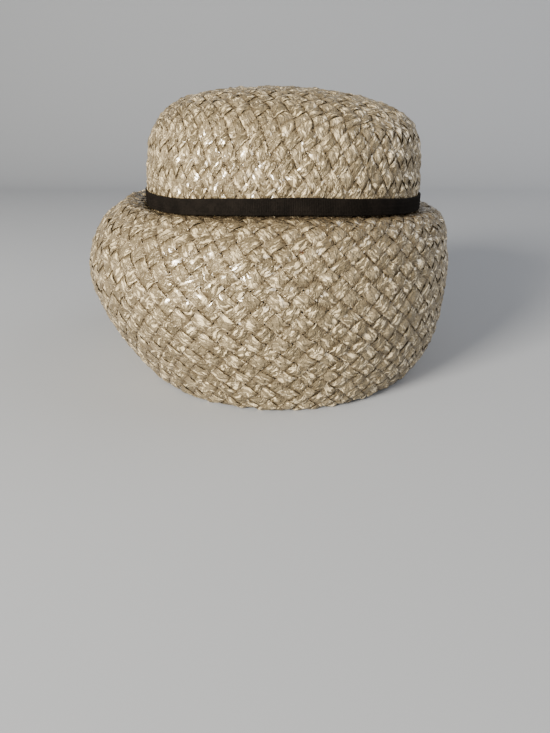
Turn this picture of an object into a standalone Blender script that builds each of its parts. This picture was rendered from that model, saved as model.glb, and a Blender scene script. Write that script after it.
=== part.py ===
"""Woven straw bubble hat: a domed crown, a bell-shaped brim that swells and turns under, and a narrow ribbon.

Blender 4.5, metres, +Z up. The hat stands on its rim: the origin is the middle of its base, and its front is -Y.
Every piece is lofted through oval sections, whose rows are given in millimetres from the middle of the crown.
"""

from collections import namedtuple

import bpy
import numpy as np

MM = 0.001

# Driving dimensions, in millimetres
STRAW_WALL = 1.8  # woven straw, strand over strand
SEAT_GAP = 0.3  # between pieces that touch
CROWN_EDGE_HEIGHT = 97.0  # where the crown's lower edge sits on the brim
COLLAR_HEIGHT = 12.0  # the brim's upstand, sewn inside the crown
HEM_FOLD = 6.0  # the rim's turned-in edge, across the fold
HEM_CORNER = 1.8
HEM_HEIGHT = 12.0
HEM_SLOPE = 0.62  # the lower wall leans out this much for each unit of height
RIBBON_WIDTH = 8.3
RIBBON_THICKNESS = 0.8

SEGMENTS_AROUND = 52
STEPS_PER_SPAN = 2
RIBBON_LAP_STEPS = 2  # how far the ribbon's end lies over its start, in segments

# height: of the section above the floor; left, right, front, back: reach from the crown's middle;
# squareness: 2 is an ellipse, more is boxier; lean: how much the section rises for each unit towards +X;
# dip: how far it sinks at the left and right; lift: how far its left end alone rises
Section = namedtuple("Section", "height left right front back squareness lean dip lift")

CROWN_SECTIONS = [
    Section(156.0, 0.0, 0.0, 0.0, 0.0, 2.00, -0.020, 0.0, 0.0),
    Section(155.2, 25.3, 22.2, 28.0, 28.0, 2.00, -0.020, 0.0, 0.0),
    Section(152.4, 45.8, 40.6, 52.0, 52.0, 2.05, -0.020, 0.0, 0.0),
    Section(147.8, 61.2, 58.4, 66.0, 66.0, 2.10, -0.020, 0.2, 0.0),
    Section(141.0, 70.6, 71.2, 77.0, 77.0, 2.20, -0.015, 0.7, 0.0),
    Section(132.0, 76.4, 76.8, 84.5, 84.5, 2.20, -0.015, 1.6, 0.0),
    Section(120.0, 79.3, 78.7, 88.5, 88.5, 2.20, -0.010, 3.0, 0.0),
    Section(108.0, 80.3, 79.1, 90.0, 90.0, 2.20, -0.005, 4.2, 0.0),
    Section(CROWN_EDGE_HEIGHT, 80.3, 79.1, 90.0, 90.0, 2.20, 0.000, 4.8, 0.0),
]

BRIM_SECTIONS = [
    Section(CROWN_EDGE_HEIGHT - SEAT_GAP, 83.3, 82.1, 93.0, 93.0, 2.20, 0.000, 4.8, 0.0),
    Section(96.9, 87.5, 86.2, 98.0, 98.0, 2.10, -0.008, 4.0, 4.1),
    Section(95.7, 92.3, 90.2, 102.0, 102.0, 2.08, -0.020, 2.5, 4.7),
    Section(92.6, 97.6, 93.8, 106.0, 106.0, 2.05, -0.025, 1.6, 2.6),
    Section(85.0, 107.3, 97.2, 112.0, 112.0, 2.00, -0.028, 0.0, 0.0),
    Section(74.0, 115.0, 98.9, 116.0, 116.0, 2.00, -0.012, 0.0, 0.0),
    Section(62.0, 118.5, 100.5, 118.0, 118.0, 2.00, 0.000, 0.0, 0.0),
    Section(50.0, 117.6, 100.5, 117.5, 117.5, 2.00, 0.000, 0.0, 0.0),
    Section(37.0, 113.2, 99.8, 115.0, 115.0, 2.00, 0.000, 0.0, 0.0),
    Section(24.0, 106.6, 98.2, 111.0, 111.0, 2.00, 0.000, 0.0, 0.0),
    Section(11.0, 98.0, 94.0, 106.5, 106.5, 2.00, 0.000, 0.0, 0.0),
    Section(HEM_CORNER, 90.6, 87.0, 102.3, 102.3, 2.00, 0.000, 0.0, 0.0),
]

STRAW_COLOUR = (0.61, 0.51, 0.37, 1.0)
STRAW_ROUGHNESS = 0.45
RIBBON_COLOUR = (0.022, 0.016, 0.012, 1.0)
RIBBON_ROUGHNESS = 0.75


def widest(sections, side):
    return max(getattr(section, side) for section in sections)


# The brim reaches further on its left, so the crown's middle stands to the right of the base's middle.
CROWN_MIDDLE_X = (widest(BRIM_SECTIONS, "left") - widest(BRIM_SECTIONS, "right")) / 2
CROWN_MIDDLE_Y = (widest(BRIM_SECTIONS, "front") - widest(BRIM_SECTIONS, "back")) / 2


def inset(section, distance, height=None):
    """The same oval made smaller all round by distance, and moved to a height."""
    reach = {side: getattr(section, side) - distance for side in ("left", "right", "front", "back")}
    return section._replace(height=section.height if height is None else height, **reach)


def smoothed(sections, steps=STEPS_PER_SPAN):
    """Rows on a Catmull-Rom curve through the sections, in every column at once."""
    table = np.array(sections)
    ends = np.vstack([2 * table[0] - table[1], table, 2 * table[-1] - table[-2]])
    rows = [table[0]]
    for before, start, end, after in zip(ends, ends[1:], ends[2:], ends[3:]):
        for t in np.arange(1, steps + 1) / steps:
            rows.append(
                start
                + t * (end - before) / 2
                + t**2 * (before - 2.5 * start + 2 * end - after / 2)
                + t**3 * (1.5 * (start - end) + (after - before) / 2)
            )
    return [Section(*row) for row in rows]


def oval(section, angles):
    """Points of a section at these angles from +X, as a superellipse about its own middle, in metres."""
    cosine, sine = np.cos(angles), np.sin(angles)
    power = 2 / section.squareness
    middle_x = (section.right - section.left) / 2
    middle_y = (section.back - section.front) / 2
    across = np.sign(cosine) * np.abs(cosine) ** power
    x = middle_x + (section.right + section.left) / 2 * across
    y = middle_y + (section.back + section.front) / 2 * np.sign(sine) * np.abs(sine) ** power
    z = section.height + section.lean * x - section.dip * across**2
    z += section.lift * np.maximum(-across, 0) ** 6
    return np.column_stack([x + CROWN_MIDDLE_X, y + CROWN_MIDDLE_Y, z]) * MM


def plain_material(name, colour, roughness):
    material = bpy.data.materials.new(name)
    material.use_nodes = True
    shader = material.node_tree.nodes["Principled BSDF"]
    shader.inputs["Base Color"].default_value = colour
    shader.inputs["Roughness"].default_value = roughness
    shader.inputs["Metallic"].default_value = 0.0
    material.diffuse_color = colour
    return material


def shell(name, points, faces, thickness, material, collection):
    """An object from an open surface whose faces point outwards, with its wall laid on the inside."""
    mesh = bpy.data.meshes.new(name)
    mesh.from_pydata(points.tolist(), [], faces)
    mesh.materials.append(material)
    mesh.shade_smooth()
    mesh.set_sharp_from_angle(angle=np.radians(40))
    piece = bpy.data.objects.new(name, mesh)
    collection.objects.link(piece)
    wall = piece.modifiers.new("wall", "SOLIDIFY")
    wall.thickness = thickness * MM
    wall.offset = -1.0
    wall.use_even_offset = True
    wall.use_quality_normals = True
    return piece


def ring_faces(rings, around, first=0):
    """Quads between closed rings of points that follow each other downwards."""
    faces = []
    for row in range(rings - 1):
        for column in range(around):
            above = first + row * around
            below = above + around
            following = (column + 1) % around
            faces.append((above + column, below + column, below + following, above + following))
    return faces


def around_angles():
    return np.arange(SEGMENTS_AROUND) * 2 * np.pi / SEGMENTS_AROUND


def make_crown(collection):
    """A dome of woven straw with a rounded shoulder and upright sides, open below."""
    rows = smoothed(CROWN_SECTIONS)
    tip = oval(rows[0], np.zeros(1))
    rings = [oval(row, around_angles()) for row in rows[1:]]
    faces = [(0, 1 + column, 1 + (column + 1) % SEGMENTS_AROUND) for column in range(SEGMENTS_AROUND)]
    faces += ring_faces(len(rings), SEGMENTS_AROUND, first=1)
    points = np.vstack([tip, *rings])
    straw = plain_material("crown_straw", STRAW_COLOUR, STRAW_ROUGHNESS)
    return shell("crown", points, faces, STRAW_WALL, straw, collection)


def collar_rows():
    """The upstand inside the crown, from its top down to the crease."""
    seat = inset(CROWN_SECTIONS[-1], STRAW_WALL + SEAT_GAP)
    crease = CROWN_EDGE_HEIGHT - SEAT_GAP
    heights = (CROWN_EDGE_HEIGHT + COLLAR_HEIGHT, CROWN_EDGE_HEIGHT + COLLAR_HEIGHT / 2, crease)
    return [seat._replace(height=height) for height in heights]


def hem_rows():
    """The edge turned in: a small corner, a flat to stand on, a corner, then up inside the wall."""
    rim = BRIM_SECTIONS[-1]
    rise = HEM_HEIGHT - HEM_CORNER
    return [
        inset(rim, HEM_CORNER, 0.0),
        inset(rim, HEM_FOLD - HEM_CORNER, 0.0),
        inset(rim, HEM_FOLD, HEM_CORNER),
        inset(rim, HEM_FOLD - HEM_SLOPE * rise, HEM_HEIGHT),
    ]


def make_brim(collection):
    """A bell of woven straw: collar, crease, swelling shoulder, wall that draws in, and turned-in hem."""
    rows = collar_rows() + smoothed(BRIM_SECTIONS) + hem_rows()
    points = np.vstack([oval(row, around_angles()) for row in rows])
    faces = ring_faces(len(rows), SEGMENTS_AROUND)
    straw = plain_material("brim_straw", STRAW_COLOUR, STRAW_ROUGHNESS)
    return shell("brim", points, faces, STRAW_WALL, straw, collection)


def make_ribbon(collection):
    """One length of ribbon round the foot of the crown, whose end climbs over its start at the back."""
    foot = CROWN_SECTIONS[-1]
    lower = CROWN_EDGE_HEIGHT + SEAT_GAP
    step = 2 * np.pi / SEGMENTS_AROUND
    count = SEGMENTS_AROUND + RIBBON_LAP_STEPS + 1
    angles = np.pi / 2 + step * np.arange(count)
    climb = np.clip(np.arange(count) - (SEGMENTS_AROUND - 1), 0, 1)
    outside = SEAT_GAP + RIBBON_THICKNESS + climb * (RIBBON_THICKNESS + SEAT_GAP)
    rows = []
    for height in (lower + RIBBON_WIDTH, lower):
        stations = zip(angles, outside)
        rows += [oval(inset(foot, -distance, height), np.array([angle])) for angle, distance in stations]
    faces = [(i, count + i, count + i + 1, i + 1) for i in range(count - 1)]
    ribbon = plain_material("ribbon", RIBBON_COLOUR, RIBBON_ROUGHNESS)
    return shell("ribbon_band", np.vstack(rows), faces, RIBBON_THICKNESS, ribbon, collection)


def main():
    for old in list(bpy.data.objects):
        bpy.data.objects.remove(old)
    hat = bpy.data.collections.new("straw_hat")
    bpy.context.scene.collection.children.link(hat)
    make_crown(hat)
    make_brim(hat)
    make_ribbon(hat)


main()
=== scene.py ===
"""A woven straw bubble hat on a pale floor: flat strips of straw over and under each other, and a ribbon.

Sizes are in millimetres, and those in the tables are from the middle of the crown. Meshes are in metres.
"""
from collections import namedtuple

import bmesh
import bpy
import numpy as np
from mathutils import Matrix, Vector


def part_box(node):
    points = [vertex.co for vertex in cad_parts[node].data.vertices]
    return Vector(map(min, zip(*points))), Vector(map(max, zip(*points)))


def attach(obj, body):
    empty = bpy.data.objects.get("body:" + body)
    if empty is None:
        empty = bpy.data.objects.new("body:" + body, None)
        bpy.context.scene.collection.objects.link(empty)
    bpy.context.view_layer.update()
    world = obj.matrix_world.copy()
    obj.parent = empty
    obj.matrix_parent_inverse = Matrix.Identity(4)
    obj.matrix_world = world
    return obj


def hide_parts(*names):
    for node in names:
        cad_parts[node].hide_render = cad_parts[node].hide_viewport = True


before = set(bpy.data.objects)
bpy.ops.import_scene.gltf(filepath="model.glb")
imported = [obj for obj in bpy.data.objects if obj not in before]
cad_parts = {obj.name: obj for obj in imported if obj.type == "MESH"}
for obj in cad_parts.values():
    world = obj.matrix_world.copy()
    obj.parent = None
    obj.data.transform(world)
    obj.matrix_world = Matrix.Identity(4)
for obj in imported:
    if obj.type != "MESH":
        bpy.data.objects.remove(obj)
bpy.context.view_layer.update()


# Camera
# A phone's main lens, held a forearm's length in front of the hat, a little lower than the crown's tip. It
# looks down, so the hat stands high in the picture and its upright lines run together downwards.

MM = 0.001
CAMERA_DISTANCE = 354.0  # in front of the crown's middle
CAMERA_HEIGHT = 135.0
LOOKING_DOWN = 23.4  # degrees
TURNED_LEFT = 0.88  # degrees
LENS = 27.06

crown_low, crown_high = (np.array(corner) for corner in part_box("crown"))
crown_middle = (crown_low + crown_high) / 2

camera = bpy.data.objects.new("camera", bpy.data.cameras.new("camera"))
camera.data.lens = LENS
camera.data.sensor_width = 36.0
camera.location = (crown_middle[0], crown_middle[1] - CAMERA_DISTANCE * MM, CAMERA_HEIGHT * MM)
camera.rotation_euler = np.radians((90 - LOOKING_DOWN, 0, TURNED_LEFT))
camera.data.clip_start = 0.01
bpy.context.scene.collection.objects.link(camera)
bpy.context.scene.camera = camera


# Crown
# A dome woven on the bias from flat strips of straw, one over one, and blocked over a form while damp,
# which twists the weave a little at the shoulder. Its edge is sewn to the brim, hidden by the ribbon.

# height: of the section above the floor; left, right, front, back: reach from the crown's middle;
# squareness: 2 is an ellipse, more is boxier; lean: how much the section rises for each unit towards +X;
# dip: how far it sinks at the left and right; lift: how far its left end alone rises
Section = namedtuple("Section", "height left right front back squareness lean dip lift")

CROWN_EDGE_HEIGHT = 97.0
CROWN_SECTIONS = [
    Section(156.0, 0.0, 0.0, 0.0, 0.0, 2.00, -0.020, 0.0, 0.0),
    Section(155.2, 25.3, 22.2, 28.0, 28.0, 2.00, -0.020, 0.0, 0.0),
    Section(152.4, 45.8, 40.6, 52.0, 52.0, 2.05, -0.020, 0.0, 0.0),
    Section(147.8, 61.2, 58.4, 66.0, 66.0, 2.10, -0.020, 0.2, 0.0),
    Section(141.0, 70.6, 71.2, 77.0, 77.0, 2.20, -0.015, 0.7, 0.0),
    Section(132.0, 76.4, 76.8, 84.5, 84.5, 2.20, -0.015, 1.6, 0.0),
    Section(120.0, 79.3, 78.7, 88.5, 88.5, 2.20, -0.010, 3.0, 0.0),
    Section(108.0, 80.3, 79.1, 90.0, 90.0, 2.20, -0.005, 4.2, 0.0),
    Section(CROWN_EDGE_HEIGHT, 80.3, 79.1, 90.0, 90.0, 2.20, 0.000, 4.8, 0.0),
]

SPAN_STEPS = 12  # rows worked out between one section and the next
TIP_REACH = 8  # crossings from the middle of the tip to the ring where the strips turn down the side
TIP_SHARE = 0.68  # of the way from the tip to the edge
TIP_TURN = -0.045  # share of a turn from the front to the middle of the tip's first side
TWIST_TURN, TWIST_FROM, TWIST_TO = 0.013, 0.9, 0.5  # of the weave, between these shares of the way down
SAME_AREA = 0.886  # a square's half side over the radius of a circle as large
CROWN_STRIPS_ROUND = 8 * TIP_REACH
CROWN_SIDE_ROWS = 3.5

STRIP_THICKNESS = 0.32
STRIP_WIDTH = 0.91  # of the distance between strips
STRIP_STEPS = (8, 5)  # faces of a crown strip along and across one crossing
JOINED_WITHIN = 2e-6  # metres, between points of one strip at neighbouring crossings
WEAVE_DEPTH = 0.86  # from the hat's outside to the middle of the weave
WEAVE_RISE = 0.82
STRIP_CUP = 0.36  # how much a strip's edges bend to the middle of the weave
STRIP_EDGE_THINNING = 0.55
DENT_WAVELENGTH, DENT = 13.0, 0.32
CRUMPLE_WAVELENGTH, CRUMPLE = 3.6, 0.22
ABOVE_FLOOR = 0.1  # the lowest that any straw reaches
PRESSED_IN = 0.9  # the crown's foot, behind the ribbon
SEAM_SHADE_REACH = 12.0  # how far from the seam the straw still gets painted shade
CROWN_SHADE_SHORTENED = 3  # times: the painted shade goes less far up the crown than down the brim
FAR_FROM_SEAM = 99.0
OTHER_SET = 1000  # added to the number of a strip of the second set
NUMBER_MARGIN = 0.96  # of a strip's width, which keeps its edges off the next strip's number


def inset(section, distance, height):
    """The same oval made smaller all round by distance, and moved to a height."""
    reach = {side: getattr(section, side) - distance for side in ("left", "right", "front", "back")}
    return section._replace(height=height, **reach)


def smoothed(sections, steps):
    """Rows on a Catmull-Rom curve through the sections, in every column at once."""
    table = np.array(sections)
    ends = np.vstack([2 * table[0] - table[1], table, 2 * table[-1] - table[-2]])
    before, start, end, after = (ends[i : len(ends) - 3 + i, None] for i in range(4))
    t = (np.arange(steps) / steps)[None, :, None]
    curve = (
        start
        + t * (end - before) / 2
        + t**2 * (before - 2.5 * start + 2 * end - after / 2)
        + t**3 * (1.5 * (start - end) + (after - before) / 2)
    )
    return np.vstack([curve.reshape(-1, table.shape[1]), table[-1]])


class Shell:
    """A lofted surface, found by the share of a turn round from the front and the share of the way down.
    Turns are even along one reference section, and ways down along the mean of upright lines all round."""

    ANGLES_ROUND = 720
    UPRIGHT_EVERY = 24  # angles

    def __init__(self, rows, reference):
        self.columns = np.array(rows).T
        self.angles = np.linspace(-np.pi / 2, 1.5 * np.pi, self.ANGLES_ROUND + 1)
        path = self.oval([np.full(self.angles.shape, value) for value in reference], self.angles)
        lengths = np.linalg.norm(np.diff(path, axis=0), axis=1)
        self.turns = np.concatenate([[0], np.cumsum(lengths)]) / lengths.sum()
        some_angles = self.angles[None, :: self.UPRIGHT_EVERY]
        uprights = self.oval([column[:, None] for column in self.columns], some_angles)
        steps = np.linalg.norm(np.diff(uprights, axis=0), axis=2).mean(axis=1)
        self.length = steps.sum()
        self.downs = np.concatenate([[0], np.cumsum(steps)]) / self.length

    @staticmethod
    def oval(section, angle):
        """A superellipse: each reach times the sine or cosine to the power of two over the squareness. It
        rises by the lean for each unit of x, sinks by the dip times the square of that powered cosine, and
        rises on the left by the lift times its sixth power."""
        height, left, right, front, back, squareness, lean, dip, lift = section
        cosine, sine = np.cos(angle), np.sin(angle)
        power = 2 / squareness
        across = np.sign(cosine) * np.abs(cosine) ** power
        x = (right - left) / 2 + (right + left) / 2 * across
        y = (back - front) / 2 + (back + front) / 2 * np.sign(sine) * np.abs(sine) ** power
        z = height + lean * x - dip * across**2 + lift * np.maximum(-across, 0) ** 6
        return np.stack(np.broadcast_arrays(x, y, z), axis=-1) * MM + (crown_middle[0], crown_middle[1], 0)

    def point(self, turn, down):
        """A point on the oval whose values lie between the rows' values at this way down."""
        section = [np.interp(down, self.downs, column) for column in self.columns]
        return self.oval(section, np.interp(turn % 1, self.turns, self.angles))


def ripple(points, wavelength, seed, waves=14):
    """A smooth random height at each point: the sum of sine waves in fixed random directions."""
    random = np.random.default_rng(seed)
    directions = random.normal(size=(3, waves))
    directions *= random.uniform(0.7, 1.4, waves) / np.linalg.norm(directions, axis=0)
    phases = random.uniform(0, 2 * np.pi, waves)
    return np.sin(points @ (directions * 2 * np.pi / (wavelength * MM)) + phases).sum(-1) / np.sqrt(waves)


class Weave:
    """Strips of straw over and under each other on a shell. A place on it is two counts of strips, a and
    b: one set of strips lies between whole numbers of a and runs along b, the other set the reverse."""

    def __init__(self, locate, facing, seam_distance):
        self.locate, self.facing, self.seam_distance = locate, facing, seam_distance

    @staticmethod
    def over(a, b):
        """1 where the strip that runs along b is on top, else -1: one over one."""
        return np.where((a + b) % 2 == 1, 1, -1)

    def place(self, a, b):
        """The shell's surface at a and b, with the small dents and shifts of straw laid by hand."""
        resting = self.locate(a, b)
        shifts = [ripple(resting, DENT_WAVELENGTH, seed) for seed in (1, 2, 3)]
        return resting + DENT * MM * np.stack(shifts, axis=-1)

    def normal(self, a, b, step=0.08):
        """The cross product of the surface's slopes along a and b."""
        along_a = self.place(a + step, b) - self.place(a - step, b)
        along_b = self.place(a, b + step) - self.place(a, b - step)
        normal = self.facing * np.cross(along_b, along_a)
        return normal / np.linalg.norm(normal, axis=-1, keepdims=True)

    def strips(self, a, b, runs_along_b, lengthwise, crosswise):
        """One set's strips at the crossings whose corners are a and b: their points, each point's place
        along and across its strip, and how far it is over or under the weave and how strong the painted
        shade by the seam is. Half a sine wave takes a strip over or under, and at a crossing's ends it is
        halfway to the next one's."""
        a, b = a[:, None, None], b[:, None, None]
        along = np.linspace(0, 1, lengthwise + 1)[None, :, None]
        half = np.linspace(-0.5, 0.5, crosswise + 1)
        across = np.concatenate([half, half[::-1]])[None, None, :]
        skin = np.repeat([0.5, -0.5], crosswise + 1)[None, None, :]
        if runs_along_b:
            place_a, place_b = np.broadcast_arrays(a + 0.5 + STRIP_WIDTH * across, b + along)
            here, before, after = self.over(a, b), self.over(a, b - 1), self.over(a, b + 1)
            strip, run = a, place_b
        else:
            place_a, place_b = np.broadcast_arrays(a + along, b + 0.5 + STRIP_WIDTH * across)
            here, before, after = -self.over(a, b), -self.over(a - 1, b), -self.over(a + 1, b)
            strip, run = b + OTHER_SET, place_a
        end = (here + np.where(along < 0.5, before, after)) / 2
        lift = end + (here - end) * np.sin(np.pi * along)
        bend = STRIP_CUP * lift * (2 * across) ** 2
        thickness = STRIP_THICKNESS * skin * (1 - STRIP_EDGE_THINNING * (2 * across) ** 2)
        surface = self.place(place_a, place_b)
        crumple = CRUMPLE * ripple(surface, CRUMPLE_WAVELENGTH, 4 + runs_along_b)
        rise = WEAVE_RISE * lift - bend + thickness + crumple - WEAVE_DEPTH
        points = surface + self.normal(place_a, place_b) * (rise * MM)[..., None]
        points[..., 2] = np.maximum(points[..., 2], ABOVE_FLOOR * MM)
        # How strongly the straw is painted darker near the seam: painted shade that fades with the distance
        # from it
        painted_seam_shade = np.exp(-np.maximum(self.seam_distance(place_a, place_b), 0) / SEAM_SHADE_REACH)
        numbered = strip + 0.5 + NUMBER_MARGIN * across
        return points, np.broadcast_arrays(run, numbered), np.broadcast_arrays(lift, painted_seam_shade)


def woven_piece(name, parts):
    """One mesh of strips from arrays of crossings, each a tube whose rings run along it, joined where one
    crossing's strip meets the next one's and closed where no strip follows. What comes with the points
    goes into the UV maps strip and rise."""
    vertices, faces, places, rises, count = [], [], [], [], 0
    for points, place, rise in parts:
        index = count + np.arange(points[..., 0].size).reshape(points.shape[:3])
        turned = np.roll(index, -1, axis=2)
        quads = np.stack([index[:, :-1], turned[:, :-1], turned[:, 1:], index[:, 1:]], axis=-1)
        vertices.append(points.reshape(-1, 3))
        places.append(np.stack(place, axis=-1).reshape(-1, 2))
        rises.append(np.stack(rise, axis=-1).reshape(-1, 2))
        faces.append(quads.reshape(-1, 4))
        count += index.size
    vertices, faces = np.concatenate(vertices), np.concatenate(faces)
    mesh = bpy.data.meshes.new(name)
    mesh.from_pydata(vertices, [], faces)
    for layer, values in (("strip", places), ("rise", rises)):
        uvs = np.concatenate(values)[faces.ravel()]
        mesh.uv_layers.new(name=layer).data.foreach_set("uv", uvs.astype(np.float32).ravel())
    shape = bmesh.new()
    shape.from_mesh(mesh)
    bmesh.ops.remove_doubles(shape, verts=shape.verts, dist=JOINED_WITHIN)
    bmesh.ops.holes_fill(shape, edges=shape.edges, sides=40)
    bmesh.ops.recalc_face_normals(shape, faces=shape.faces)
    shape.to_mesh(mesh)
    shape.free()
    mesh.shade_smooth()
    mesh.set_sharp_from_angle(angle=np.radians(50))
    piece = bpy.data.objects.new(name, mesh)
    bpy.context.scene.collection.objects.link(piece)
    return piece


def rows_of_crossings(strips_round, first_row, last_row):
    """Corners a and b of the crossings in rows half a strip apart, whose middles step round in turn."""
    rows = np.arange(first_row, last_row + 0.25, 0.5)[:, None]
    middles = np.arange(strips_round)[None, :] + np.where(rows % 1 == 0, 0.5, 0.0)
    return (middles + rows - 0.5).ravel(), (middles - rows - 0.5).ravel()


pressed_foot = inset(CROWN_SECTIONS[-1], PRESSED_IN, CROWN_EDGE_HEIGHT)
crown_shell = Shell(smoothed([*CROWN_SECTIONS[:-1], pressed_foot], SPAN_STEPS), CROWN_SECTIONS[-1])


def twisted(turn, down):
    """A turn counted from the weave's own start, and on the tip twisted a little more, with a smooth step
    from the one to the other across the shoulder."""
    share = np.clip((TWIST_FROM - down) / (TWIST_FROM - TWIST_TO), 0, 1)
    return turn + TIP_TURN + TWIST_TURN * share**2 * (3 - 2 * share)


def crown_tip(x, y):
    """The dome at x and y on the square grid of the tip. Near the middle the grid keeps its shape, and
    further out each square round the middle becomes a ring, by the square of how far out it is."""
    level = np.maximum(np.maximum(np.abs(x), np.abs(y)), 1e-6)
    quarter = np.round(np.arctan2(y, x) / (np.pi / 2))
    turned_side = np.where((quarter % 4 == 0) | (quarter % 4 == 1), 1, -1)
    along_side = np.where(quarter % 2 == 0, y, -x) * turned_side
    angle = quarter * np.pi / 2 + np.pi / 4 * along_side / level
    ringed = (level / TIP_REACH) ** 2
    flat_x = ringed * level * np.cos(angle) + (1 - ringed) * SAME_AREA * x
    flat_y = ringed * level * np.sin(angle) + (1 - ringed) * SAME_AREA * y
    down = TIP_SHARE / TIP_REACH * np.hypot(flat_x, flat_y)
    return crown_shell.point(twisted(np.arctan2(flat_y, flat_x) / (2 * np.pi), down), down)


def locate_on_tip(a, b):
    """The square grid is askew to the strips: x is half the sum of a and b, and y half their difference."""
    return crown_tip((a + b) / 2, (a - b) / 2)


def locate_on_side(a, b):
    """Rows go evenly down the side. What reaches above the first row lies on the square grid of the tip."""
    round_, row = (a + b) / 2, (a - b) / 2
    down = TIP_SHARE + (1 - TIP_SHARE) * row / CROWN_SIDE_ROWS
    down = np.maximum(down, TIP_SHARE)
    below = crown_shell.point(twisted(round_ / CROWN_STRIPS_ROUND, down), down)
    side = np.round(round_ / (2 * TIP_REACH))
    outward, sideways = TIP_REACH + row, round_ - 2 * TIP_REACH * side
    cosine, sine = np.cos(side * np.pi / 2), np.sin(side * np.pi / 2)
    above = crown_tip(outward * cosine - sideways * sine, outward * sine + sideways * cosine)
    return np.where((row < 0)[..., None], above, below)


def crown_to_seam(a, b):
    """The distance up the crown's side from its edge, times what shortens its painted shade."""
    up = crown_shell.length / MM * (1 - TIP_SHARE) * (1 - (a - b) / 2 / CROWN_SIDE_ROWS)
    return CROWN_SHADE_SHORTENED * up


tip_weave = Weave(locate_on_tip, facing=1, seam_distance=lambda a, b: np.full(a.shape, FAR_FROM_SEAM))
side_weave = Weave(locate_on_side, facing=-1, seam_distance=crown_to_seam)

every = np.arange(-2 * TIP_REACH, 2 * TIP_REACH)
tip_a, tip_b = (corner.ravel() for corner in np.meshgrid(every, every, indexing="ij"))
reach = np.maximum(np.abs(tip_a + tip_b + 1), np.abs(tip_a - tip_b)) / 2 + 0.5
tip_a, tip_b = tip_a[reach <= TIP_REACH].astype(float), tip_b[reach <= TIP_REACH].astype(float)
side_a, side_b = rows_of_crossings(CROWN_STRIPS_ROUND, 0, CROWN_SIDE_ROWS - 0.5)

tip_strips = [tip_weave.strips(tip_a, tip_b, along_b, *STRIP_STEPS) for along_b in (True, False)]
side_strips = [side_weave.strips(side_a, side_b, along_b, *STRIP_STEPS) for along_b in (True, False)]
crown_tip_weave = woven_piece("crown_tip_weave", tip_strips)
crown_side_weave = woven_piece("crown_side_weave", side_strips)


class Socket:
    """A value in a material. Sums and products of it, written as in Python, add Math nodes."""

    def __init__(self, tree, output):
        self.tree, self.output = tree, output

    def add(self, kind, settings=None, inputs=None, output=0):
        """Any other node: its type, its settings, and the values or links of its sockets."""
        node = self.tree.nodes.new(kind)
        for name, value in (settings or {}).items():
            setattr(node, name, value)
        for name, value in (inputs or {}).items():
            if isinstance(value, Socket):
                self.tree.links.new(value.output, node.inputs[name])
            else:
                node.inputs[name].default_value = value
        return Socket(self.tree, node.outputs[output])

    def math(self, operation, *values):
        """A Math node on numbers and sockets."""
        return self.add("ShaderNodeMath", {"operation": operation}, dict(enumerate(values)))

    def __add__(self, other):
        return self.math("ADD", self, other)

    def __sub__(self, other):
        return self.math("SUBTRACT", self, other)

    def __rsub__(self, other):
        return self.math("SUBTRACT", other, self)

    def __mul__(self, other):
        return self.math("MULTIPLY", self, other)

    __radd__, __rmul__ = __add__, __mul__

    def between(self, low, high):
        """0 below low and 1 above high, with a smooth step between them."""
        settings = {"interpolation_type": "SMOOTHSTEP"}
        return self.add("ShaderNodeMapRange", settings, {0: self, 1: low, 2: high})

    def part(self, axis):
        """One of the three numbers of a vector or colour."""
        return self.add("ShaderNodeSeparateXYZ", inputs={0: self}, output=axis)

    def vector(self, operation, inputs):
        """A Vector Math node, whose inputs are given by their places."""
        return self.add("ShaderNodeVectorMath", {"operation": operation}, inputs)

    def noise(self, scale, detail=2.0, roughness=0.5):
        """A random value from 0 to 1 that changes smoothly from place to place."""
        inputs = {"Vector": self, "Scale": scale, "Detail": detail, "Roughness": roughness}
        return self.add("ShaderNodeTexNoise", {}, inputs)

    def folded(self, folds):
        """Crumpled flat: the sum of triangle waves, each along its own direction on the strip."""
        along, across = self.part(0), self.part(1)
        ramps = [(x * along + y * across, weight) for x, y, weight in folds]
        waves = [weight * ramp.math("PINGPONG", ramp, 0.5) for ramp, weight in ramps]
        return sum(waves[1:], waves[0])

    def patch(self):
        """A random value for each cell of a 2D cell pattern."""
        inputs = {"Vector": self, "Scale": 1.0}
        colour = self.add("ShaderNodeTexVoronoi", {"voronoi_dimensions": "2D"}, inputs, output=1)
        return colour.part(0)

    def bent(self, scale, amount):
        """A small random shift that changes smoothly from place to place."""
        inputs = {"Vector": self, "Scale": scale, "Detail": 1.0}
        field = self.add("ShaderNodeTexNoise", {}, inputs, output=1)
        centred = self.vector("SUBTRACT", {0: field, 1: (0.5, 0.5, 0.5)})
        return self.vector("SCALE", {0: centred, "Scale": 2 * amount})

    def stretched(self, x, y, z=1.0):
        """Each of the three numbers times its own factor."""
        return self.vector("MULTIPLY", {0: self, 1: (x, y, z)})

    def mixed(self, first, second):
        """A colour between two, by this value."""
        settings = {"data_type": "RGBA"}
        return self.add("ShaderNodeMix", settings, {0: self, 6: first, 7: second}, output=2)


def new_finish(name):
    """A material, its Principled shader, and the socket of the object's own coordinates."""
    material = bpy.data.materials.new(name)
    material.use_nodes = True
    shader = material.node_tree.nodes["Principled BSDF"]
    start = Socket(material.node_tree, None)
    return material, shader, start.add("ShaderNodeTexCoord", output=3)


def connect(value, shader, name):
    """Links a value to one of the shader's sockets."""
    value.tree.links.new(value.output, shader.inputs[name])


# Colour of the painted highlights on the glinting chips
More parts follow.
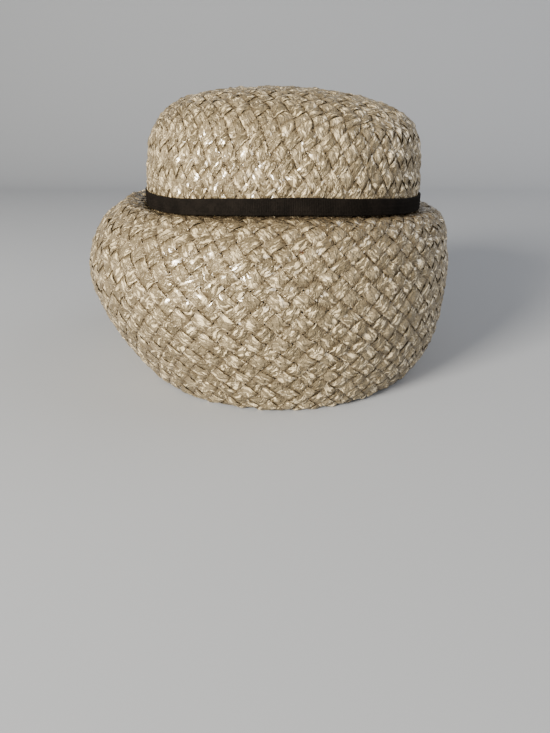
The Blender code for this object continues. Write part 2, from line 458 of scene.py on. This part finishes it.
STRAW_PAINTED_GLINT = (1.0, 0.80, 0.47, 1)
STRAW_CREAM = (0.256, 0.202, 0.122, 1)
STRAW_TAN = (0.132, 0.102, 0.059, 1)
# The dark colour of all painted shade on the straw
STRAW_PAINTED_SHADE = (0.068, 0.046, 0.025, 1)
STRAW_FLECK = (0.07, 0.03, 0.012, 1)
SPECULAR_TINT = (1.0, 0.86, 0.62, 1)
PAINTED_SET_SHEEN = 0.2  # how much lighter the strips of one set are painted: a painted sheen for the light that set catches
PAINTED_GLINT_SHARE, PAINTED_EDGE_SHARE, PAINTED_TUCK_SHARE, PAINTED_SEAM_SHARE = 0.9, 0.7, 0.62, 0.88  # the most of each painted highlight and painted shade
# Waves for each strip's width along and across it, and how strong they are
STRAW_FOLDS = [(0.7, 2.3, 0.34), (1.7, 1.3, 0.30), (-1.5, 1.6, 0.30)]
STRAW_CREASES = [(1.3, 6.1, 0.15), (3.4, 4.1, 0.14), (-3.7, 3.3, 0.14)]
FOLD_HEIGHT = 2.0  # of a fold as strong as 1, in the bump alone
# Patches for each strip's width along and across it
FACETS, CHIPS, STREAKS, FIBRES = (1.6, 2.6), (2.6, 9.0), (1.1, 8), (2.5, 26)
FLECKS_IN_A_METRE = 34.0
FLECK_RIM, FLECK_HEART = 0.055, 0.035  # shares of the distance between flecks


def straw_finish():
    """Dried straw split flat: glossy, creased into small facets, streaked along its length. Painted shade
    darkens it along its edges, where it dips under another strip and near the seam, painted highlights
    lighten some chips, and a painted sheen lightens one set of strips. Tones are weighted sums of random
    patches, made a share between two colours by a smooth step."""
    material, shader, place = new_finish("straw")

    # Where a point is on its strip, and in its weave
    strip = place.add("ShaderNodeUVMap", {"uv_map": "strip"})
    rise = place.add("ShaderNodeUVMap", {"uv_map": "rise"})
    across = strip.part(1)
    number = across.math("FLOOR", across)
    from_middle = across.math("ABSOLUTE", across - number - 0.5) * 2
    other_set = across.math("GREATER_THAN", across, OTHER_SET / 2)
    # Painted shade where a strip dips under another, from its lift, and painted shade by the seam
    tuck_shade, painted_seam_shade = rise.part(0).between(0.75, 0.15), rise.part(1)
    warped = strip.vector("ADD", {0: strip, 1: strip.bent(3.0, 0.22)})

    # Each strip has its own tone, broken up into facets, narrower chips and streaks along it
    own_tone = number.add("ShaderNodeTexWhiteNoise", {"noise_dimensions": "1D"}, {"W": number}, output=0)
    patches = place.noise(70, 2)
    streaks = strip.stretched(*STREAKS).noise(1.0, 3, 0.6)
    fibres = strip.stretched(*FIBRES).noise(1.0, 2)
    facet_tone = warped.stretched(*FACETS).patch()
    chip_tone = warped.stretched(*CHIPS).patch()
    tone = 0.42 * own_tone + 0.3 * patches + 0.35 * facet_tone + 0.25 * chip_tone + 0.4 * streaks - 0.50
    # One set of strips painted lighter: a painted sheen
    tan_to_cream = (tone + PAINTED_SET_SHEEN * other_set).between(0.1, 0.8).mixed(STRAW_TAN, STRAW_CREAM)
    # Glinting chips: a painted highlight in the base colour, and a real coat of gloss below
    glinting = (chip_tone + 0.3 * facet_tone + 0.25 * streaks).between(1.05, 1.16)
    with_painted_glints = (PAINTED_GLINT_SHARE * glinting).mixed(tan_to_cream, STRAW_PAINTED_GLINT)

    # Painted shade along its edges, ragged along the fibres, where it dips under another strip and near the
    # seam; and darker in a few flecks
    painted_edge_shade = PAINTED_EDGE_SHARE * from_middle.between(0.80, 0.98) * fibres.between(0.30, 0.60)
    tuck_and_edge_shaded = (PAINTED_TUCK_SHARE * tuck_shade).mixed(painted_edge_shade.mixed(with_painted_glints, STRAW_PAINTED_SHADE), STRAW_PAINTED_SHADE)
    # Painted shade near the seam, where the ribbon and the crease shade the straw
    shaded = (PAINTED_SEAM_SHARE * painted_seam_shade).mixed(tuck_and_edge_shaded, STRAW_PAINTED_SHADE)
    fleck = place.add("ShaderNodeTexVoronoi", {}, {"Vector": place, "Scale": FLECKS_IN_A_METRE})
    connect(fleck.between(FLECK_RIM, FLECK_HEART).mixed(shaded, STRAW_FLECK), shader, "Base Color")

    # Smoother on some facets, with a gloss like lacquer on the glinting chips
    connect(0.40 - 0.18 * facet_tone, shader, "Roughness")
    connect(glinting, shader, "Coat Weight")
    split = from_middle.between(0.10, 0.0) * patches.between(0.42, 0.55)
    creased = warped.folded(STRAW_FOLDS) + warped.folded(STRAW_CREASES)
    height = creased + 0.06 * fibres + 0.12 * streaks - 0.15 * split
    relief = {"Strength": 1.0, "Distance": FOLD_HEIGHT * MM, "Height": height}
    connect(height.add("ShaderNodeBump", {}, relief), shader, "Normal")
    shader.inputs["Specular IOR Level"].default_value = 0.9
    shader.inputs["Coat Roughness"].default_value = 0.2
    shader.inputs["Coat IOR"].default_value = 2.1
    shader.inputs["Specular Tint"].default_value = SPECULAR_TINT
    return material


straw = straw_finish()
for piece in (crown_tip_weave, crown_side_weave):
    piece.data.materials.append(straw)
    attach(piece, "root")
    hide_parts("crown")


# Brim
# A bell woven like the crown's sides, one strip over one, and sewn inside the crown at its upper edge. It
# swells under the ribbon, more on the left than on the right, and draws in again to a rim turned under.

COLLAR_HEIGHT = 12.0
SEAT_GAP = 0.3
STRAW_WALL = 1.8
HEM_FOLD = 6.0  # the turned-in edge, across the fold
HEM_CORNER = 1.8
RIM_LIFT = 0.4  # for the strips that bulge below the middle of the weave
HEM_HEIGHT = 12.0
HEM_SLOPE = 0.62  # the lower wall leans out this much for each unit of height

BRIM_SECTIONS = [
    Section(CROWN_EDGE_HEIGHT - SEAT_GAP, 83.3, 82.1, 93.0, 93.0, 2.20, 0.000, 4.8, 4.6),
    Section(96.9, 87.5, 86.2, 98.0, 98.0, 2.10, -0.008, 4.0, 3.6),
    Section(95.7, 92.3, 90.2, 102.0, 102.0, 2.08, -0.020, 2.5, 3.2),
    Section(92.6, 97.6, 93.8, 106.0, 106.0, 2.05, -0.025, 1.6, 1.8),
    Section(85.0, 107.3, 97.2, 112.0, 112.0, 2.00, -0.028, 0.0, 0.0),
    Section(74.0, 115.0, 98.9, 116.0, 116.0, 2.00, -0.012, 0.0, 0.0),
    Section(62.0, 118.5, 100.5, 118.0, 118.0, 2.00, 0.000, 0.0, 0.0),
    Section(50.0, 117.6, 100.5, 117.5, 117.5, 2.00, 0.000, 0.0, 0.0),
    Section(37.0, 113.2, 99.8, 115.0, 115.0, 2.00, 0.000, 0.0, 0.0),
    Section(24.0, 106.6, 98.2, 111.0, 111.0, 2.00, 0.000, 0.0, 0.0),
    Section(11.0, 98.0, 94.0, 106.5, 106.5, 2.00, 0.000, 0.0, 0.0),
    Section(HEM_CORNER, 90.6, 87.0, 102.3, 102.3, 2.00, 0.000, 0.0, 0.0),
]

BRIM_STRIPS_ROUND = 60
BRIM_ROWS = 14
BRIM_STRIP_STEPS = (6, 4)  # faces of a strip along and across one crossing
OPEN_CREASE = 25.0  # added to the distance from the seam on the left, where light falls into the crease

collar = [
    inset(CROWN_SECTIONS[-1], STRAW_WALL + SEAT_GAP, CROWN_EDGE_HEIGHT + rise)
    for rise in (COLLAR_HEIGHT, COLLAR_HEIGHT / 2, -SEAT_GAP)
]
rim = BRIM_SECTIONS[-1]
hem = [
    inset(rim, HEM_CORNER, RIM_LIFT),
    inset(rim, HEM_FOLD - HEM_CORNER, RIM_LIFT),
    inset(rim, HEM_FOLD, HEM_CORNER),
    inset(rim, HEM_FOLD - HEM_SLOPE * (HEM_HEIGHT - HEM_CORNER), HEM_HEIGHT),
]
widest = BRIM_SECTIONS[6]
brim_shell = Shell(np.vstack([collar, smoothed(BRIM_SECTIONS, SPAN_STEPS), hem]), widest)


def locate_on_brim(a, b):
    """Half the sum of a and b counts strips round the brim, and half their difference rows down it."""
    return brim_shell.point((a + b) / 2 / BRIM_STRIPS_ROUND, (a - b) / 2 / BRIM_ROWS)


def brim_to_seam(a, b):
    """The distance down the brim, and on the left more, by the fourth power of the turn's sine."""
    down = brim_shell.length / MM * ((a - b) / 2 / BRIM_ROWS - brim_shell.downs[len(collar)])
    leftward = np.maximum(-np.sin(2 * np.pi * (a + b) / 2 / BRIM_STRIPS_ROUND), 0)
    return down + OPEN_CREASE * leftward**4


brim_weave = Weave(locate_on_brim, facing=-1, seam_distance=brim_to_seam)
brim_a, brim_b = rows_of_crossings(BRIM_STRIPS_ROUND, 0.5, BRIM_ROWS - 0.5)
brim_pieces = [
    woven_piece("brim_weave_rising", [brim_weave.strips(brim_a, brim_b, True, *BRIM_STRIP_STEPS)]),
    woven_piece("brim_weave_falling", [brim_weave.strips(brim_a, brim_b, False, *BRIM_STRIP_STEPS)]),
]
for piece in brim_pieces:
    piece.data.materials.append(straw)
    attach(piece, "root")
    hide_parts("brim")


# Ribbon
# A length of narrow ribbed ribbon, nearly black, folded lengthwise and laid round the crown's foot over the
# seam. One row of small stitches holds the fold, and the ends are lapped at the back.

RIBBON_WIDTH = 8.3
RIBBON_THICKNESS = 0.8
RIBBON_LIFT = 3.0  # how far it rides up at its left end
RIBBON_LAP_TURN = 2 / 52  # how far the ribbon's end lies over its start, as a share of a turn
RIBBON_RAMP_TURN = 1 / 52  # over which the end climbs to lie on the start
RIB_SPACING = 0.8
RIB_RELIEF = 0.08
STEPS_PER_RIB = 4
FACE_POINTS = 19  # across the ribbon's outer face
RIBBON_MARGIN = 0.2  # kept off its full width at each edge
RIBBON_GROOVES = (0.36, 0.63)  # lengthwise creases, as shares of its width
GROOVE_DEPTH = 0.16
GROOVE_WIDTH = 0.035  # as a share of the ribbon's
STITCH_HEIGHT = 0.27  # as a share of the ribbon's width
STITCH_SPACING = 1.9
STITCH_LENGTH = 1.15
STITCH_RADIUS = 0.17
STITCH_PROUD = 0.02  # how far its middle stands off the ribbon

foot = CROWN_SECTIONS[-1]._replace(lift=RIBBON_LIFT)
ribbon_low = CROWN_EDGE_HEIGHT + SEAT_GAP


def beside_foot(turn, outward, height):
    """Points outward of the crown's foot by a distance and at a height, lapped over the ribbon's start."""
    ends = 0.5 + 1 - RIBBON_RAMP_TURN
    climb = np.clip((turn - ends) / RIBBON_RAMP_TURN, 0, 1) * (RIBBON_THICKNESS + SEAT_GAP)
    out = SEAT_GAP + climb + outward
    section = [height, *(reach + out for reach in (foot.left, foot.right, foot.front, foot.back))]
    angle = np.interp(turn % 1, crown_shell.turns, crown_shell.angles)
    return Shell.oval([*section, foot.squareness, foot.lean, foot.dip, foot.lift], angle)


round_foot = (foot.left + foot.right + foot.front + foot.back) / 4 * 2 * np.pi
ribbon_length = (1 + RIBBON_LAP_TURN) * round_foot
steps = int(ribbon_length / RIB_SPACING * STEPS_PER_RIB)
turn = 0.5 + np.linspace(0, 1 + RIBBON_LAP_TURN, steps)[:, None]

# Round its section: up the outer face, over the upper edge, down the back and round the lower edge
up_face = np.linspace(0.02, 0.98, FACE_POINTS)
share = np.concatenate([up_face, [1.0, 1.0, 0.98, 0.5, 0.02, 0.0, 0.0]])[None, :]
outer = np.concatenate([np.ones(FACE_POINTS), [0.75, 0.25, 0.0, 0.0, 0.0, 0.25, 0.75]])[None, :]

# Ribs fade out at the edges, the grooves are deepest at the hat's sides, and the edges sway a little
face = (outer == 1.0) * np.sin(np.pi * np.clip(share, 0.02, 0.98)) ** 0.3
ribs = RIB_RELIEF * np.cos(2 * np.pi * np.arange(steps) / STEPS_PER_RIB)[:, None] * face
at_sides = 0.35 + 0.65 * np.abs(np.sin(2 * np.pi * turn)) ** 2
grooves = sum(np.exp(-(((share - groove) / GROOVE_WIDTH) ** 2)) for groove in RIBBON_GROOVES)
outward = RIBBON_THICKNESS * outer + ribs - GROOVE_DEPTH * at_sides * grooves * face
sway = 0.18 * np.sin(2 * np.pi * turn * 5 + 1) + 0.12 * np.sin(2 * np.pi * turn * 13)
lowest = ribbon_low + RIBBON_MARGIN
height = lowest + (RIBBON_WIDTH - 2 * RIBBON_MARGIN) * share + sway * (0.4 + 0.6 * share)
ribbon_points = beside_foot(turn, outward, height)


def ring_mesh(name, points):
    """A closed tube from rows of points round it, with its two ends capped."""
    rows, rounds = points.shape[:2]
    index = np.arange(rows * rounds).reshape(rows, rounds)
    turned = np.roll(index, -1, axis=1)
    quads = np.stack([index[:-1], turned[:-1], turned[1:], index[1:]], axis=-1).reshape(-1, 4).tolist()
    mesh = bpy.data.meshes.new(name)
    mesh.from_pydata(points.reshape(-1, 3), [], quads + [index[0].tolist(), index[-1, ::-1].tolist()])
    shape = bmesh.new()
    shape.from_mesh(mesh)
    bmesh.ops.recalc_face_normals(shape, faces=shape.faces)
    shape.to_mesh(mesh)
    shape.free()
    mesh.shade_smooth()
    mesh.set_sharp_from_angle(angle=np.radians(55))
    piece = bpy.data.objects.new(name, mesh)
    bpy.context.scene.collection.objects.link(piece)
    return piece


ribbon = ring_mesh("ribbon_weave", ribbon_points)

# The brown of the ribbon and the thread is painted sheen
RIBBON_BLACK, RIBBON_BROWN = (0.0025, 0.0018, 0.0012, 1), (0.010, 0.0075, 0.0058, 1)
THREAD_BLACK, THREAD_BROWN = (0.004, 0.003, 0.002, 1), (0.008, 0.006, 0.005, 1)


def ribbon_finish(name, colour, painted_sheen):
    """Almost black, with random blotches of brown painted sheen, and a fine thread along the weave."""
    material, shader, place = new_finish(name)
    tone = 0.5 * place.noise(160, 2) + 0.5 * place.noise(1400, 2)
    connect(tone.between(0.3, 0.75).mixed(colour, painted_sheen), shader, "Base Color")
    thread = place.stretched(1, 1, 3).noise(2600, 1)
    bump = thread.add("ShaderNodeBump", {}, {"Strength": 0.6, "Distance": 0.0001, "Height": thread})
    connect(bump, shader, "Normal")
    shader.inputs["Roughness"].default_value = 0.8
    shader.inputs["Specular IOR Level"].default_value = 0.08
    return material


ribbon.data.materials.append(ribbon_finish("ribbon", RIBBON_BLACK, RIBBON_BROWN))
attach(ribbon, "root")
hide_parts("ribbon_band")

# Each stitch is a short thread, thinner at its ends and half sunk in the ribbon
count = int(round_foot / STITCH_SPACING)
along = np.linspace(-1, 1, 7)
around = np.arange(6) * np.pi / 3
middle = 0.5 + np.arange(count) / count
swell = np.sqrt(np.maximum(1 - along**2, 0.02)) * STITCH_RADIUS
turns = middle[:, None, None] + (along * STITCH_LENGTH / 2 / round_foot)[None, :, None]
out = RIBBON_THICKNESS + STITCH_PROUD + swell[None, :, None] * np.cos(around)[None, None, :]
up = swell[None, :, None] * np.sin(around)[None, None, :] + ribbon_low + STITCH_HEIGHT * RIBBON_WIDTH
turns, out, up = np.broadcast_arrays(turns, out, up)
stitch_uv = (turns, out)
stitches = woven_piece("ribbon_stitches", [(beside_foot(turns, out, up), stitch_uv, stitch_uv)])
stitches.data.materials.append(ribbon_finish("thread", THREAD_BLACK, THREAD_BROWN))
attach(stitches, "root")
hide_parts("ribbon_band")


# Stage
# Pale paper that lies flat under the hat and curves up behind it, in metres. A small window on the left
# gives the glints, and two wide panels and the room's own light fill the shadows.

SWEEP_FRONT, SWEEP_BACK, SWEEP_RADIUS, SWEEP_TOP, SWEEP_HALF_WIDTH = -1.6, 1.0, 0.6, 1.8, 2.6

bend = np.linspace(0, np.pi / 2, 25)
sweep_end = SWEEP_BACK + SWEEP_RADIUS
sweep_y = np.concatenate([[SWEEP_FRONT], SWEEP_BACK + SWEEP_RADIUS * np.sin(bend), [sweep_end]])
sweep_z = np.concatenate([[0], SWEEP_RADIUS * (1 - np.cos(bend)), [SWEEP_TOP]])
sides = (-SWEEP_HALF_WIDTH, SWEEP_HALF_WIDTH)
sweep_points = [(x, y, z) for y, z in zip(sweep_y, sweep_z) for x in sides]
sweep_faces = [(2 * i, 2 * i + 1, 2 * i + 3, 2 * i + 2) for i in range(len(sweep_y) - 1)]
sweep_mesh = bpy.data.meshes.new("floor")
sweep_mesh.from_pydata(sweep_points, [], sweep_faces)
sweep_mesh.shade_smooth()
sweep = bpy.data.objects.new("floor", sweep_mesh)
bpy.context.scene.collection.objects.link(sweep)
PAPER_GREY = (0.390, 0.409, 0.450, 1)
paper, paper_shader, _ = new_finish("pale_paper")
paper_shader.inputs["Base Color"].default_value = PAPER_GREY
paper_shader.inputs["Roughness"].default_value = 0.8
sweep_mesh.materials.append(paper)


def soft_light(name, place, aim, size, watts, colour):
    """A square panel of light at a place, turned to what it lights."""
    light = bpy.data.lights.new(name, "AREA")
    light.size, light.energy, light.color = size, watts, colour
    lamp = bpy.data.objects.new(name, light)
    lamp.location = place
    x, y, z = np.array(place) - np.array(aim)
    lamp.rotation_euler = (np.arctan2(np.hypot(x, y), z), 0, np.arctan2(y, x) + np.pi / 2)
    bpy.context.scene.collection.objects.link(lamp)


soft_light("window", (-1.05, -1.2, 0.60), (0, 0, 0.08), 0.5, 78, (1.0, 0.935, 0.80))
soft_light("room", (0.5, -1.5, 0.3), (0, 0, 0.08), 0.8, 7, (1.0, 0.99, 0.98))
soft_light("far side of the room", (1.5, 0.3, 1.0), (0.35, 0.25, 0), 1.6, 15, (1.0, 0.99, 0.97))

ROOM_COLOUR, ROOM_STRENGTH = (1.0, 0.99, 0.97, 1), 0.30
world = bpy.data.worlds.new("studio")
bpy.context.scene.world = world
world.use_nodes = True
world.node_tree.nodes["Background"].inputs["Color"].default_value = ROOM_COLOUR
world.node_tree.nodes["Background"].inputs["Strength"].default_value = ROOM_STRENGTH
